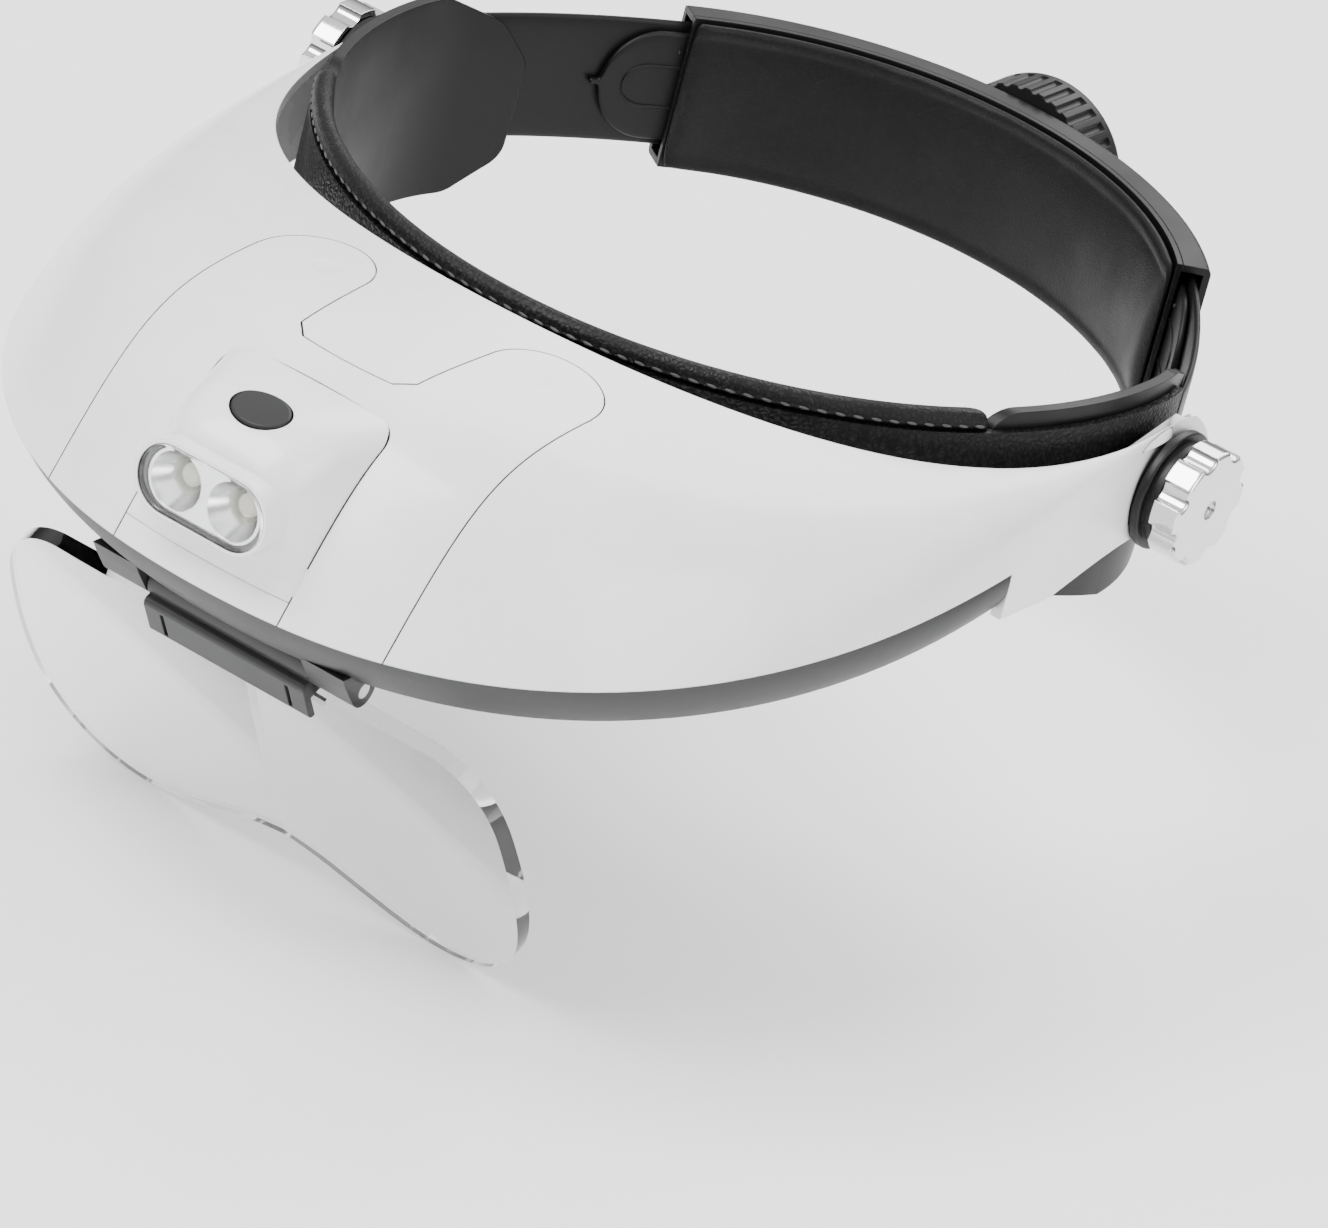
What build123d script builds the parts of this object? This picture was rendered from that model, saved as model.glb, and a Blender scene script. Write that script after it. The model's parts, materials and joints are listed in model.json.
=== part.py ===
"""Head visor magnifier: a tilting lamp visor with a flip-up lens on an adjustable headband.

Frame: millimetres, +Z up, the wearer faces -Y, +X is the wearer's left. The origin is the
centre of the front headband arc at the height of its top rim.
"""
import math
import os

from build123d import *

os.makedirs("parts", exist_ok=True)

# Headband line, seen from above: front arc, side arc, strap arc and rear arc, all tangent.
BAND_RADIUS = 85.7
SIDE_RADIUS = 40.0
STRAP_RADIUS = 181.0
SIDE_TURN = 23.3
STRAP_TURN = 38.0

# Headband layers as offsets from that line, and their heights.
LINING_LAYER = (-2.2, -0.1)
STRAP_LAYER = (0.0, 1.4)
RACK_LAYER = (-1.5, -0.1)
BAND_LEVELS = (-32.0, -4.0)
STRAP_LEVELS = (-32.0, -5.8)
LINING_LEVELS = (-34.0, 0.0)
BAND_END_Y = 10.0
PLATE_FRONT_Y = -40.0

# Rear housing that takes in the straps.
HOUSING_LEVELS = (-35.0, -3.2)
HOUSING_OUTSIDE = 3.5
HOUSING_WALL = 1.4
HOUSING_INSIDE = -2.0
PAD_LAYER = (-5.0, -3.3)
DIAL_Z = -19.0
DIAL_RADIUS = 18.0
DIAL_DEPTH = 12.0
PINION_TEETH = 12
PINION_TIP = 5.3
PINION_ROOT = 4.0

# Visor pivot.
PIVOT_Y = 2.0
PIVOT_Z = -19.3
BOLT_RADIUS = 2.5
BOLT_HEAD_RADIUS = 5.0
RUNNING_GAP = 0.06
WASHER_X = 91.8
KNOB_X = 95.8
KNOB_LENGTH = 5.8
KNOB_RADIUS = 11.3
KNOB_LOBES = 8

# Visor shell.
SHELL_WALL = 2.2
ROOF_HALF_WIDTH = 90.2
ROOF_FRONT = 95.0
BROW_HALF_WIDTH = 91.5
BROW_FRONT = 165.2
BROW_CENTRE_Y = -45.0
BROW_FRONT_Z = -37.3
BROW_RISE = 0.115
ARM_END_Y = 18.0
ARM_END_RADIUS = 14.0
ARM_BOTTOM_Z = -32.9
TRIM_END_Y = -47.0
PART_GAP = 0.25

# Lamp panel, window and button.
PANEL_HALF_WIDTH = 18.0
PANEL_REAR_Y = -140.4
PANEL_BOTTOM_Z = -33.4
WINDOW_Y = -168.5
WINDOW_Z = -19.8
WINDOW_LENGTH = 27.2
WINDOW_HEIGHT = 12.8
CUP_SPACING = 12.4
CUP_RADIUS = 5.9
BUTTON_AT = (0.0, -155.9, -6.5)
BUTTON_UP = (0.0, -0.27, 0.963)
BUTTON_SIZE = (5.7, 4.5)
BUTTON_PROUD = 0.9

# Battery compartment.
COVER_HALF_WIDTH = 37.0
CELL_RADIUS = 5.25
CELL_LENGTH = 44.5
CELL_CENTRES = ((-112.5, -9.6), (-124.0, -12.6), (-135.5, -16.6))

# Lens hinge and lens.
HINGE_Y = -147.0
HINGE_Z = -50.0
HINGE_RADIUS = 3.2
PIN_RADIUS = 1.5
KNUCKLE_SPAN = (18.3, 28.0)
LENS_TOP = (0.0, -144.9, -55.0)
LENS_LEAN = 33.0
LENS_HALF_THICKNESS = 2.25
LENS_FIELD_RADIUS = 340.0
LENS_FIELD_CENTRE = (27.0, 32.0)


def polar(centre, radius, degrees):
    """Point at an angle on a circle in the plan."""
    turn = math.radians(degrees)
    return (centre[0] + radius * math.cos(turn), centre[1] + radius * math.sin(turn))


SIDE_CENTRE = (BAND_RADIUS - SIDE_RADIUS, 0.0)
SIDE_END = polar(SIDE_CENTRE, SIDE_RADIUS, SIDE_TURN)
STRAP_CENTRE = polar(SIDE_END, -STRAP_RADIUS, SIDE_TURN)
STRAP_END = polar(STRAP_CENTRE, STRAP_RADIUS, STRAP_TURN)
REAR_RADIUS = STRAP_END[0] / math.cos(math.radians(STRAP_TURN))
REAR_CENTRE = (0.0, STRAP_END[1] - REAR_RADIUS * math.sin(math.radians(STRAP_TURN)))
REAR_Y = REAR_CENTRE[1] + REAR_RADIUS


def finish(part, name):
    """Label one piece and write it."""
    part.label = name
    export_step(part, f"parts/{name}.step")


def band_outline(offset, mode=Mode.ADD):
    """Closed headband loop, moved outwards from the band line by an offset."""
    with BuildLine() as loop:
        CenterArc((0, 0), BAND_RADIUS + offset, 180, 180)
        CenterArc(SIDE_CENTRE, SIDE_RADIUS + offset, 0, SIDE_TURN)
        CenterArc(STRAP_CENTRE, STRAP_RADIUS + offset, SIDE_TURN, STRAP_TURN - SIDE_TURN)
        CenterArc(REAR_CENTRE, REAR_RADIUS + offset, STRAP_TURN, 180 - 2 * STRAP_TURN)
        CenterArc(
            (-STRAP_CENTRE[0], STRAP_CENTRE[1]),
            STRAP_RADIUS + offset,
            180 - STRAP_TURN,
            STRAP_TURN - SIDE_TURN,
        )
        CenterArc(
            (-SIDE_CENTRE[0], 0), SIDE_RADIUS + offset, 180 - SIDE_TURN, SIDE_TURN
        )
    make_face(loop.edges(), mode=mode)


def band_ring(layer, levels):
    """Whole ring of the headband between two offsets and two heights."""
    with BuildSketch(Plane.XY.offset(levels[0])) as ring:
        band_outline(layer[1])
        band_outline(layer[0], mode=Mode.SUBTRACT)
    extrude(ring.sketch, amount=levels[1] - levels[0])


def keep_box(low, high):
    """Keep only what lies inside a box."""
    size = [b - a for a, b in zip(low, high)]
    centre = tuple((a + b) / 2 for a, b in zip(low, high))
    with Locations(centre):
        Box(*size, mode=Mode.INTERSECT)


def add_box(low, high, mode=Mode.ADD):
    """Box between two corners."""
    size = [b - a for a, b in zip(low, high)]
    centre = tuple((a + b) / 2 for a, b in zip(low, high))
    with Locations(centre):
        Box(*size, mode=mode)


def rod_x(x0, x1, y, z, radius, mode=Mode.ADD):
    """Cylinder along X."""
    with BuildSketch(Plane.YZ.offset(x0)) as disc:
        with Locations((y, z)):
            Circle(radius)
    extrude(disc.sketch, amount=x1 - x0, mode=mode)


# ---------------------------------------------------------------- visor surface

def superellipse(angle, half_width, front, centre_y, power):
    """Plan of a rim; angle 0 is the left temple, a quarter turn the front, a half turn the right."""
    c = math.cos(angle)
    s = math.sin(angle)
    depth = front + centre_y
    radius = (abs(c / half_width) ** power + abs(s / depth) ** power) ** (-1 / power)
    return radius * c, centre_y - radius * s


def roof_rim(angle):
    """Top edge of the visor."""
    x, y = superellipse(angle, ROOF_HALF_WIDTH, ROOF_FRONT, 0.0, 2.053)
    back = (y + ROOF_FRONT) / ROOF_FRONT
    return x, y, 0.86 - 28.3 * back + 20.5 * back * back


def brow_height(y):
    """Height of the white lower edge, straight in the side view."""
    return BROW_FRONT_Z + BROW_RISE * (y + BROW_FRONT)


def brow_rim(angle):
    """Lower white edge of the visor."""
    x, y = superellipse(angle, BROW_HALF_WIDTH, BROW_FRONT, BROW_CENTRE_Y, 2.349)
    return x, y, brow_height(y)


def trim_rim(angle):
    """Lower edge of the dark trim under the brow."""
    x, y = superellipse(angle, 90.3, 154.0, BROW_CENTRE_Y, 2.25)
    return x, y, -47.6 + 0.155 * (y + 154.0)


def rim_pair(station):
    """Matching roof and brow points; stations past 0 and 1 run back along the arms."""
    angle = math.pi * min(max(station, 0.0), 1.0)
    roof = list(roof_rim(angle))
    brow = list(brow_rim(angle))
    past = max(-station, station - 1.0, 0.0)
    if past > 0:
        roof[1] += past * ARM_END_Y
        brow[1] += past * (ARM_END_Y - BROW_CENTRE_Y)
        brow[2] = brow_height(brow[1])
    return roof, brow, math.sin(angle)


def skin_point(station, v):
    """Outer surface of the visor: v 0 at the roof rim, 1 at the brow rim."""
    roof, brow, frontness = rim_pair(station)
    w = frontness**1.27 if frontness > 1e-9 else 0.0
    out_1, out_2 = 0.03 + 0.69 * w, 0.76 - 0.04 * w
    down_1, down_2 = 0.05 * w, 0.28 - 0.23 * w
    a = 3 * (1 - v) ** 2 * v
    b = 3 * (1 - v) * v * v
    out = a * out_1 + b * out_2 + v**3
    down = a * down_1 + b * down_2 + v**3
    return Vector(
        roof[0] + (brow[0] - roof[0]) * out,
        roof[1] + (brow[1] - roof[1]) * out,
        roof[2] + (brow[2] - roof[2]) * down,
    )


def skin_inset(station, v, depth):
    """Point below the outer surface, measured square to it."""
    step = 1e-3
    along = skin_point(station + step, v) - skin_point(station - step, v)
    down = skin_point(station, v + step) - skin_point(station, v - step)
    inward = down.cross(along).normalized()
    return skin_point(station, v) + inward * depth


ARM_STATIONS = (1.0, 0.66, 0.33)
FRONT_COUNT = 28
SKIN_ROWS = 10
STATIONS = [-s for s in ARM_STATIONS]
STATIONS += [i / FRONT_COUNT for i in range(FRONT_COUNT + 1)]
STATIONS += [1 + s for s in reversed(ARM_STATIONS)]


def skin_end(station):
    """How far v runs past the brow, so that the arms and the rim can be cut to shape."""
    frontness = math.sin(math.pi * min(max(station, 0.0), 1.0))
    return 1.3 - 0.2 * frontness


def skin_solid(depth, wall):
    """Solid skin of the whole visor at a depth below its outer surface."""
    rows = []
    for i in range(SKIN_ROWS + 1):
        rows.append([skin_inset(s, i / SKIN_ROWS * skin_end(s), depth) for s in STATIONS])
    return thick_sheet(rows, wall)


def thick_sheet(rows, wall):
    """Smooth sheet through a grid of points, made solid towards its inner side."""
    sheet = Face.make_surface_from_array_of_points(rows, tol=0.05, min_deg=3, max_deg=5)
    return Solid.thicken(sheet, wall)


def side_profile():
    """Side view that the shell and its arms keep."""
    with BuildSketch(Plane.YZ.offset(-100)) as profile:
        with BuildLine():
            bottom = PIVOT_Z - ARM_END_RADIUS
            top = PIVOT_Z + ARM_END_RADIUS
            Polyline(
                (PIVOT_Y, bottom),
                (TRIM_END_Y, ARM_BOTTOM_Z),
                (TRIM_END_Y, brow_height(TRIM_END_Y)),
                (-180, brow_height(-180)),
                (-180, 20),
                (PIVOT_Y - 12, 20),
                (PIVOT_Y - 12, top),
                (PIVOT_Y, top),
            )
            CenterArc((PIVOT_Y, PIVOT_Z), ARM_END_RADIUS, -90, 180)
        make_face()
    extrude(profile.sketch, amount=200, mode=Mode.INTERSECT)


def cover_outline(grow):
    """Plan of the battery cover, grown by a gap: two lobes at the rear, open to the front."""
    half = COVER_HALF_WIDTH + grow
    lobe_x = 25.6
    lobe_y = -110.2
    lobe_r = 11.3 + grow
    notch = 13.0 - grow
    tongue_y = -133.5 + grow
    with BuildLine() as edge:
        for side in (-1, 1):
            Polyline(
                (side * half, -190), (side * half, lobe_y), (side * (lobe_x + lobe_r), lobe_y)
            )
            ThreePointArc(
                (side * (lobe_x + lobe_r), lobe_y),
                (side * lobe_x, lobe_y + lobe_r),
                (side * (lobe_x - lobe_r), lobe_y),
            )
            Line((side * (lobe_x - lobe_r), lobe_y), (side * notch, tongue_y + 4))
            Line((side * notch, tongue_y + 4), (side * (notch - 3), tongue_y + 0.8))
        ThreePointArc((-notch + 3, tongue_y + 0.8), (0, tongue_y), (notch - 3, tongue_y + 0.8))
        Line((-half, -190), (half, -190))
    make_face(edge.edges())


def panel_outline(grow):
    """Plan of the lamp panel, grown by a gap."""
    half = PANEL_HALF_WIDTH + grow
    rear = PANEL_REAR_Y + grow
    corner = 4.0
    with BuildLine() as edge:
        Polyline((-half, rear - corner), (-half, -190), (half, -190), (half, rear - corner))
        CenterArc((half - corner, rear - corner), corner, 0, 90)
        Line((half - corner, rear), (corner - half, rear))
        CenterArc((corner - half, rear - corner), corner, 90, 90)
    make_face(edge.edges())


def plan_cut(outline, grow, mode, low=-60.0, high=30.0):
    """Upright prism of a plan outline, added, cut or kept."""
    with BuildSketch(Plane.XY.offset(low)) as plan:
        outline(grow)
    extrude(plan.sketch, amount=high - low, mode=mode)


def mirrored_pair(make, name):
    """Make the left and the right piece of a pair."""
    for side, word in ((1, "left"), (-1, "right")):
        finish(make(side), f"{word}_{name}")


# ---------------------------------------------------------------- visor shell and cover

SHELL_SKIN = skin_solid(0.0, SHELL_WALL)

with BuildPart() as shell:
    add(SHELL_SKIN)
    side_profile()
    plan_cut(cover_outline, PART_GAP, Mode.SUBTRACT)
    for side in (-1, 1):
        rod_x(side * 80, side * 95, PIVOT_Y, PIVOT_Z, BOLT_RADIUS + RUNNING_GAP, Mode.SUBTRACT)
finish(shell.part, "visor_shell")

with BuildPart() as cover:
    add(SHELL_SKIN)
    side_profile()
    plan_cut(cover_outline, 0.0, Mode.INTERSECT)
    plan_cut(panel_outline, PART_GAP, Mode.SUBTRACT)
    for side in (-1, 1):
        with Locations((side * 25.6, -110.5, 31.0)):
            Sphere(31.9, mode=Mode.SUBTRACT)
finish(cover.part, "battery_cover")


# ---------------------------------------------------------------- lamp panel

def panel_station(across, v):
    """Station whose skin point stands a given way across from the centre line."""
    low, high = 0.3, 0.7
    for _ in range(30):
        middle = (low + high) / 2
        if skin_point(middle, v).X > across:
            low = middle
        else:
            high = middle
    return (low + high) / 2


def pod_point(u, t):
    """Lamp pod surface: u -1 to 1 across, t 0 at the rear edge to 1 at the brow."""
    v = PANEL_V[0] + (PANEL_V[1] - PANEL_V[0]) * t
    base = skin_point(panel_station(u * PANEL_HALF_WIDTH, v), v)
    rear = skin_point(0.5, PANEL_V[0])
    front = skin_point(0.5, PANEL_V[1])
    crest = rear * (1 - t) ** 3 + front * t**3
    crest += POD_TOP * (3 * (1 - t) ** 2 * t) + POD_BROW * (3 * (1 - t) * t * t)
    return base + (crest - skin_point(0.5, v)) * (1 - abs(u) ** 5)


def skin_v_at(y):
    """Place along the centre profile where the skin reaches a depth in y."""
    low, high = 0.2, 1.0
    for _ in range(30):
        middle = (low + high) / 2
        if skin_point(0.5, middle).Y > y:
            low = middle
        else:
            high = middle
    return (low + high) / 2


def pill(plane, length, height):
    """Sketch of a slot shape on a plane."""
    with BuildSketch(plane) as slot:
        SlotOverall(length, height)
    return slot.sketch


PANEL_V = (skin_v_at(PANEL_REAR_Y), skin_v_at(-163.0))
POD_TOP = Vector(0, -159.5, -3.6)
POD_BROW = Vector(0, -172.5, -8.0)
POD_ROWS = [[pod_point(i / 9 - 1, j / 12) for i in range(19)] for j in range(13)]
WINDOW_PLANE = Plane(origin=(0, WINDOW_Y, WINDOW_Z), x_dir=(1, 0, 0), z_dir=(0, 1, 0))
BUTTON_PLANE = Plane(origin=BUTTON_AT, x_dir=(1, 0, 0), z_dir=BUTTON_UP)

with BuildPart() as panel:
    add(thick_sheet(POD_ROWS, -2.0))
    plan_cut(panel_outline, 0.0, Mode.INTERSECT, low=PANEL_BOTTOM_Z)
    with BuildPart(mode=Mode.PRIVATE) as strip:
        add(SHELL_SKIN)
        side_profile()
        plan_cut(panel_outline, 0.0, Mode.INTERSECT)
        keep_box((-30, -180, -60), (30, -150, PANEL_BOTTOM_Z + 0.1))
    add(strip.part)
    extrude(pill(WINDOW_PLANE, WINDOW_LENGTH + 1.6, WINDOW_HEIGHT + 1.6), amount=7.0)
    extrude(
        pill(WINDOW_PLANE.offset(-2), 24.8, 12.1), amount=14.0, mode=Mode.SUBTRACT
    )
    extrude(
        pill(WINDOW_PLANE.offset(-2), WINDOW_LENGTH + 0.2, WINDOW_HEIGHT + 0.2),
        amount=3.6,
        mode=Mode.SUBTRACT,
    )
    with BuildSketch(BUTTON_PLANE.offset(3)) as button_hole:
        Ellipse(BUTTON_SIZE[0] + 0.3, BUTTON_SIZE[1] + 0.3)
    extrude(button_hole.sketch, amount=-8, mode=Mode.SUBTRACT)
    add_box((-4.4, -171, -27.4), (4.4, -166.6, -26.7), Mode.SUBTRACT)
finish(panel.part, "lamp_panel")

with BuildPart() as window:
    extrude(pill(WINDOW_PLANE, WINDOW_LENGTH, WINDOW_HEIGHT), amount=1.5)
    fillet(window.faces().sort_by(Axis.Y)[0].edges(), 0.6)
finish(window.part, "led_window")

with BuildPart() as reflectors:
    extrude(pill(WINDOW_PLANE.offset(1.8), 24.4, 11.8), amount=0.8)
    for side in (-1, 1):
        cup_plane = Plane(
            origin=(side * CUP_SPACING / 2, WINDOW_Y + 1.8, WINDOW_Z),
            x_dir=(1, 0, 0),
            z_dir=(0, 1, 0),
        )
        with BuildSketch(cup_plane) as mouth:
            Circle(CUP_RADIUS)
        with BuildSketch(cup_plane.offset(6.0)) as base:
            Circle(3.2)
        loft(Sketch() + [mouth.sketch, base.sketch])
        with BuildSketch(cup_plane.offset(-0.1)) as bowl:
            Circle(CUP_RADIUS - 0.5)
        with BuildSketch(cup_plane.offset(6.1)) as throat:
            Circle(2.4)
        loft(Sketch() + [bowl.sketch, throat.sketch], mode=Mode.SUBTRACT)
finish(reflectors.part, "led_reflectors")

with BuildPart() as emitters:
    for side in (-1, 1):
        with BuildSketch(WINDOW_PLANE.offset(5.6)) as die:
            with Locations((side * CUP_SPACING / 2, 0)):
                Circle(2.2)
        extrude(die.sketch, amount=2.9)
    fillet(emitters.faces().sort_by(Axis.Y)[0:2].edges(), 1.2)
finish(emitters.part, "led_emitters")

with BuildPart() as board:
    with BuildSketch(WINDOW_PLANE.offset(8.6)) as outline:
        RectangleRounded(25, 11, 1.5)
    extrude(outline.sketch, amount=1.0)
finish(board.part, "led_board")

with BuildPart() as button:
    with BuildSketch(BUTTON_PLANE.offset(-2.6)) as stem:
        Ellipse(BUTTON_SIZE[0], BUTTON_SIZE[1])
    extrude(stem.sketch, amount=2.6 + BUTTON_PROUD)
    fillet(button.faces().sort_by(Axis.Z)[-1].edges(), 0.5)
    with BuildSketch(BUTTON_PLANE.offset(-3.6)) as rim:
        Ellipse(BUTTON_SIZE[0] + 1.0, BUTTON_SIZE[1] + 1.0)
    extrude(rim.sketch, amount=1.0)
    with BuildSketch(BUTTON_PLANE.offset(-5.0)) as plunger:
        Circle(1.3)
    extrude(plunger.sketch, amount=1.6)
finish(button.part, "power_button")

with BuildPart() as dome:
    with BuildSketch(BUTTON_PLANE.offset(-6.6)) as dome_rim:
        Circle(2.4)
    extrude(dome_rim.sketch, amount=0.5, taper=60)
finish(dome.part, "switch_dome")

with BuildPart() as switch:
    with BuildSketch(BUTTON_PLANE.offset(-9.6)) as case:
        RectangleRounded(7, 7, 0.6)
    extrude(case.sketch, amount=2.9)
finish(switch.part, "button_switch")


# ---------------------------------------------------------------- lamp housing and cells

def tray_profile(wall, top):
    """Side view of the cell tray; a wall of 0 gives its outside."""
    with BuildLine() as edge:
        Polyline(
            (-104.6 - wall, -4.8 + top),
            (-104.6 - wall, -17.6 + wall),
            (-144.2 + wall, -28.0 + wall),
            (-144.2 + wall, -18.0 + top),
            (-136.0, -12.4 + top),
            close=True,
        )
    make_face(edge.edges())


TRAY_HALF = 36.4
with BuildPart() as tray:
    with BuildSketch(Plane.YZ.offset(-TRAY_HALF)) as outside:
        tray_profile(0.0, 0.0)
    extrude(outside.sketch, amount=2 * TRAY_HALF)
    with BuildSketch(Plane.YZ.offset(1.4 - TRAY_HALF)) as inside:
        tray_profile(1.4, 20.0)
    extrude(inside.sketch, amount=2 * TRAY_HALF - 2.8, mode=Mode.SUBTRACT)
    for x in (-31.0, 31.0):
        for y, floor in ((-109.0, -18.0), (-139.5, -26.0)):
            add_box((x - 2.6, y - 2.6, floor), (x + 2.6, y + 2.6, floor + 8))
            with Locations((x, y, floor)):
                Cylinder(1.1, 30, mode=Mode.SUBTRACT)
finish(tray.part, "lamp_housing")

with BuildPart() as cells:
    for y, z in CELL_CENTRES:
        rod_x(-CELL_LENGTH / 2, CELL_LENGTH / 2 - 1, y, z, CELL_RADIUS)
        rod_x(CELL_LENGTH / 2 - 1, CELL_LENGTH / 2, y, z, 1.9)
finish(cells.part, "battery_cells")

with BuildPart() as contacts:
    for side in (-1, 1):
        for y, z in CELL_CENTRES:
            low, high = sorted((side * (CELL_LENGTH / 2 + 0.2), side * (CELL_LENGTH / 2 + 0.8)))
            add_box((low, y - 4.2, z - 4.0), (high, y + 4.2, z + 4.0))
finish(contacts.part, "battery_contacts")

with BuildPart() as tray_screws:
    for x in (-31.0, 31.0):
        for y, floor in ((-109.0, -19.6), (-139.5, -27.8)):
            with Locations((x, y, floor + 4.5)):
                Cylinder(1.05, 9)
            with Locations((x, y, floor - 0.6)):
                Cylinder(2.2, 1.2)
finish(tray_screws.part, "lamp_housing_screws")


# ---------------------------------------------------------------- liner, trim and lens hinge

LINER_STATIONS = [s for s in STATIONS if 4.9 / FRONT_COUNT < s < 1 - 4.9 / FRONT_COUNT]


def liner_rows():
    """Grid of the inner skin, from just under the roof rim to just above the brow."""
    rows = []
    for i in range(SKIN_ROWS + 1):
        v = 0.1 + 0.8 * i / SKIN_ROWS
        rows.append([skin_inset(s, v, SHELL_WALL + 0.2) for s in LINER_STATIONS])
    return rows


def trim_rows():
    """Grid of the trim band, from the brow in to its own lower edge, slightly bulged."""
    rows = []
    count = 5
    for i in range(count + 1):
        down = i / count
        row = []
        for j in range(FRONT_COUNT + 1):
            angle = math.pi * j / FRONT_COUNT
            brow = Vector(*brow_rim(angle))
            low = Vector(*trim_rim(angle))
            outward = Vector(math.cos(angle), -math.sin(angle), 0)
            bulge = 1.2 * math.sin(math.pi * down) - 0.5
            row.append(brow + (low - brow) * down + outward * bulge + Vector(0, 0, -0.2))
        rows.append(row)
    return rows


with BuildPart() as liner:
    add(thick_sheet(liner_rows(), 1.2))
    add_box(
        (-TRAY_HALF - PART_GAP, -144.4, -60), (TRAY_HALF + PART_GAP, -104.3, 30), Mode.SUBTRACT
    )
finish(liner.part, "visor_liner")

with BuildPart() as trim:
    add(thick_sheet(trim_rows(), 2.2))
    for side in (-1, 1):
        start = min(side * KNUCKLE_SPAN[0], side * KNUCKLE_SPAN[1])
        length = KNUCKLE_SPAN[1] - KNUCKLE_SPAN[0]
        with BuildSketch(Plane.YZ.offset(start)) as web:
            with BuildLine():
                Polyline(
                    (-154.6, -45.8),
                    (-152.6, -48.4),
                    (HINGE_Y - 2.4, HINGE_Z - 2.2),
                    (HINGE_Y + HINGE_RADIUS, HINGE_Z),
                    (HINGE_Y + HINGE_RADIUS, -45.4),
                    close=True,
                )
            make_face()
            with Locations((HINGE_Y, HINGE_Z)):
                Circle(HINGE_RADIUS)
        extrude(web.sketch, amount=length)
    rod_x(-40, 40, HINGE_Y, HINGE_Z, PIN_RADIUS, Mode.SUBTRACT)
    with BuildSketch(Plane.YZ.offset(-100)) as above:
        with BuildLine():
            Polyline(
                (-180, brow_height(-180) - 0.2),
                (TRIM_END_Y + 5, brow_height(TRIM_END_Y + 5) - 0.2),
                (TRIM_END_Y + 5, 0),
                (-180, 0),
                close=True,
            )
        make_face()
    extrude(above.sketch, amount=200, mode=Mode.SUBTRACT)
    keep_box((-120, -180, -80), (120, TRIM_END_Y - 0.2, 0))
finish(trim.part, "brow_trim")

with BuildPart() as pin:
    rod_x(-KNUCKLE_SPAN[1], KNUCKLE_SPAN[1], HINGE_Y, HINGE_Z, PIN_RADIUS)
finish(pin.part, "lens_hinge_pin")

lean = math.radians(LENS_LEAN)
LENS_DOWN = Vector(0, math.sin(lean), -math.cos(lean))
LENS_PLANE = Plane(origin=LENS_TOP, x_dir=(1, 0, 0), z_dir=(0, -math.cos(lean), -math.sin(lean)))


def lens_slab(half_width, s0, s1, n0, n1, mode=Mode.ADD):
    """Slab in the lens plane: s runs down the lens, n out of its front."""
    with BuildSketch(LENS_PLANE.offset(n0)) as slab:
        with Locations((0, LENS_SIGN * (s0 + s1) / 2)):
            Rectangle(2 * half_width, s1 - s0)
    extrude(slab.sketch, amount=n1 - n0, mode=mode)


LENS_SIGN = 1.0 if LENS_PLANE.y_dir.dot(LENS_DOWN) > 0 else -1.0

with BuildPart() as carrier:
    half = KNUCKLE_SPAN[0] - 0.4
    lens_slab(half, -4.0, 5.0, -4.0, 4.0)
    fillet(carrier.edges().filter_by(Axis.X), 1.2)
    rod_x(-half, half, HINGE_Y, HINGE_Z, HINGE_RADIUS)
    rod_x(-half - 1, half + 1, HINGE_Y, HINGE_Z, PIN_RADIUS + RUNNING_GAP, Mode.SUBTRACT)
    lens_slab(15.3, -2.6, 6.0, -2.4, 2.4, Mode.SUBTRACT)
    lens_slab(20.0, 0.2, 6.0, -2.5, 2.5, Mode.SUBTRACT)
    for x in (-14.0, 14.0):
        with BuildSketch(LENS_PLANE.offset(2.0)) as slit:
            with Locations((x, LENS_SIGN * 0.6)):
                Rectangle(0.9, 6.0)
        extrude(slit.sketch, amount=4.0, mode=Mode.SUBTRACT)
finish(carrier.part, "lens_carrier")

LENS_OUTLINE = (
    (41.0, 0.6),
    (48.5, 3.6),
    (53.6, 10.5),
    (55.8, 22.0),
    (55.8, 40.0),
    (52.5, 54.0),
    (45.5, 63.0),
    (35.5, 66.5),
    (25.0, 64.5),
    (12.0, 59.5),
)
LENS_NOTCH = ((12.0, 59.5), (8.4, 58.0), (4.2, 57.5), (0.0, 57.5))


def lens_field(side):
    """Half of the lens: a flat back and a domed front about the field's own centre."""
    with BuildPart() as field:
        with BuildSketch(LENS_PLANE.offset(-LENS_HALF_THICKNESS)) as outline:
            with BuildLine():
                points = [(side * x, LENS_SIGN * s) for x, s in LENS_OUTLINE]
                notch = [(side * x, LENS_SIGN * s) for x, s in LENS_NOTCH]
                Spline(points)
                Bezier(*notch)
                Polyline(notch[-1], (0, 0), points[0])
            make_face()
        extrude(outline.sketch, amount=6.0)
        centre = LENS_PLANE.from_local_coords(
            Vector(
                side * LENS_FIELD_CENTRE[0],
                LENS_SIGN * LENS_FIELD_CENTRE[1],
                2.6 - LENS_FIELD_RADIUS,
            )
        )
        with Locations(centre):
            Sphere(LENS_FIELD_RADIUS, mode=Mode.INTERSECT)
    return field.part


with BuildPart() as lens:
    add(lens_field(1))
    add(lens_field(-1))
    lens_slab(15.0, -2.2, 4.0, -2.1, 2.1)
finish(lens.part, "lens_plate")


# ---------------------------------------------------------------- headband

with BuildPart() as front_band:
    band_ring(STRAP_LAYER, BAND_LEVELS)
    keep_box((-100, -100, -60), (100, BAND_END_Y, 10))
    for side in (-1, 1):
        rod_x(side * 80, side * 95, PIVOT_Y, PIVOT_Z, BOLT_RADIUS, Mode.SUBTRACT)
finish(front_band.part, "front_band")

with BuildPart() as sweatband:
    band_ring(LINING_LAYER, LINING_LEVELS)
    keep_box((-100, -100, -60), (100, PLATE_FRONT_Y - 0.2, 10))
finish(sweatband.part, "sweatband")


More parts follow.
